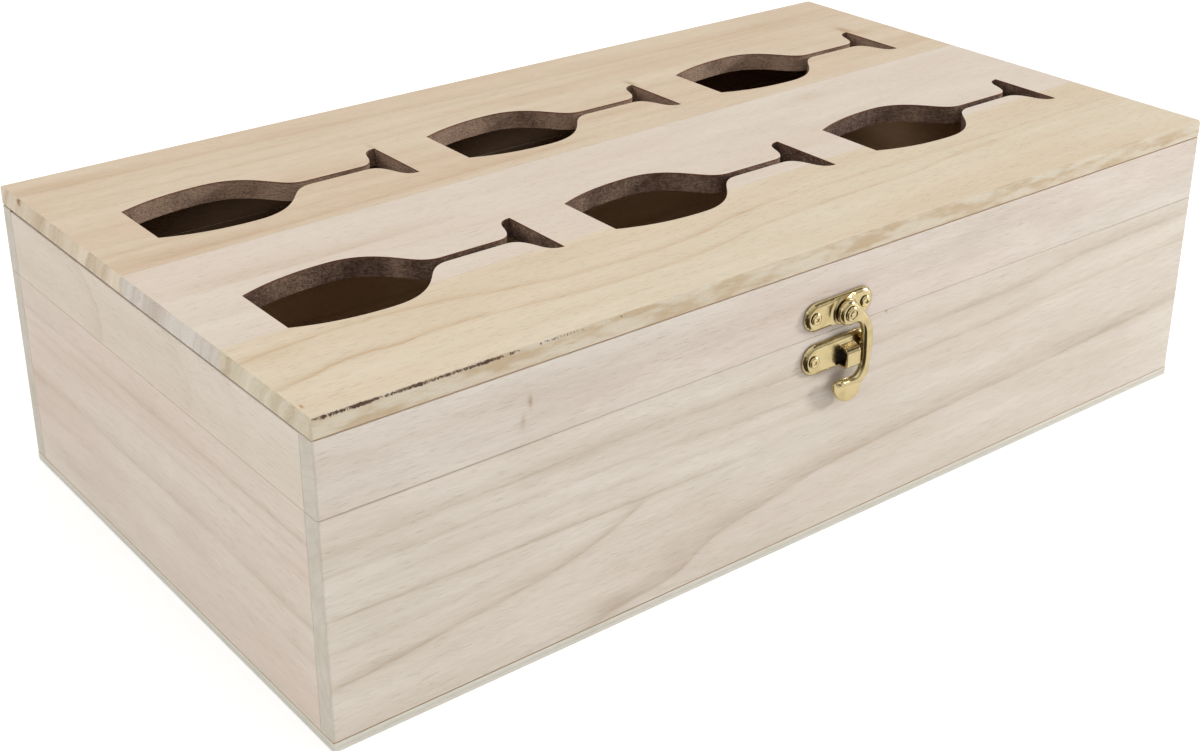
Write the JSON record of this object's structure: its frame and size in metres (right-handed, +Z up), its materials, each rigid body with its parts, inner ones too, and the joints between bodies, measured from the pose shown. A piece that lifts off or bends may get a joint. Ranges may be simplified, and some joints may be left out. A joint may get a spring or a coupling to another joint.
{
  "type": "hinged wooden gift box",
  "caption": "Pale wooden case with a hinged lid cut through with wine glass silhouettes, closed at the front by a brass swing-hook latch.",
  "frame": {"origin": "middle of the underside of the base, on the surface the box stands on", "axes": "+X to the right along the length of the box, seen from the front; +Y from the front, where the latch is, to the rear, where the hinges are; +Z up"},
  "size_m": [0.36, 0.2094, 0.1008],
  "materials": {
    "pale_wood": "planed and sanded, unfinished pale softwood-like paulownia",
    "panel_wood": "planed and sanded, unfinished, edge-glued boards of slightly different tone",
    "charred_wood": "walls scorched dark brown by the cut",
    "plywood": "thin raw plywood",
    "brass": "bright brass plating, lightly worn"
  },
  "bodies": {
    "base": {"base_bottom": "plywood", "base_front_wall": "pale_wood", "base_rear_wall": "pale_wood", "base_left_wall": "pale_wood", "base_right_wall": "pale_wood", "latch_keeper_plate": "brass", "latch_keeper_screw_1": "brass", "latch_keeper_screw_2": "brass", "hinge_left_base_leaf": "brass", "hinge_left_pin": "brass", "hinge_left_base_screw_1": "brass", "hinge_left_base_screw_2": "brass", "hinge_right_base_leaf": "brass", "hinge_right_pin": "brass", "hinge_right_base_screw_1": "brass", "hinge_right_base_screw_2": "brass"},
    "lid": {"lid_panel": "panel_wood", "lid_front_rail": "pale_wood", "lid_rear_rail": "pale_wood", "lid_left_rail": "pale_wood", "lid_right_rail": "pale_wood", "latch_hook_plate": "brass", "latch_pivot_rivet": "brass", "latch_hook_plate_screw_1": "brass", "latch_hook_plate_screw_2": "brass", "hinge_left_lid_leaf": "brass", "hinge_left_lid_screw_1": "brass", "hinge_left_lid_screw_2": "brass", "hinge_right_lid_leaf": "brass", "hinge_right_lid_screw_1": "brass", "hinge_right_lid_screw_2": "brass"},
    "hook": {"latch_hook": "brass"}
  },
  "joints": [
    {"name": "lid_hinge", "type": "hinge", "parent": "base", "child": "lid", "pos_m": [0, 0.1018, 0.07165], "axis": [-1, 0, 0], "range_deg": [0, 180]},
    {"name": "hook_pivot", "type": "hinge", "parent": "lid", "child": "hook", "pos_m": [0.00235, -0.1034, 0.0783], "axis": [0, -1, 0], "range_deg": [0, 300]}
  ]
}
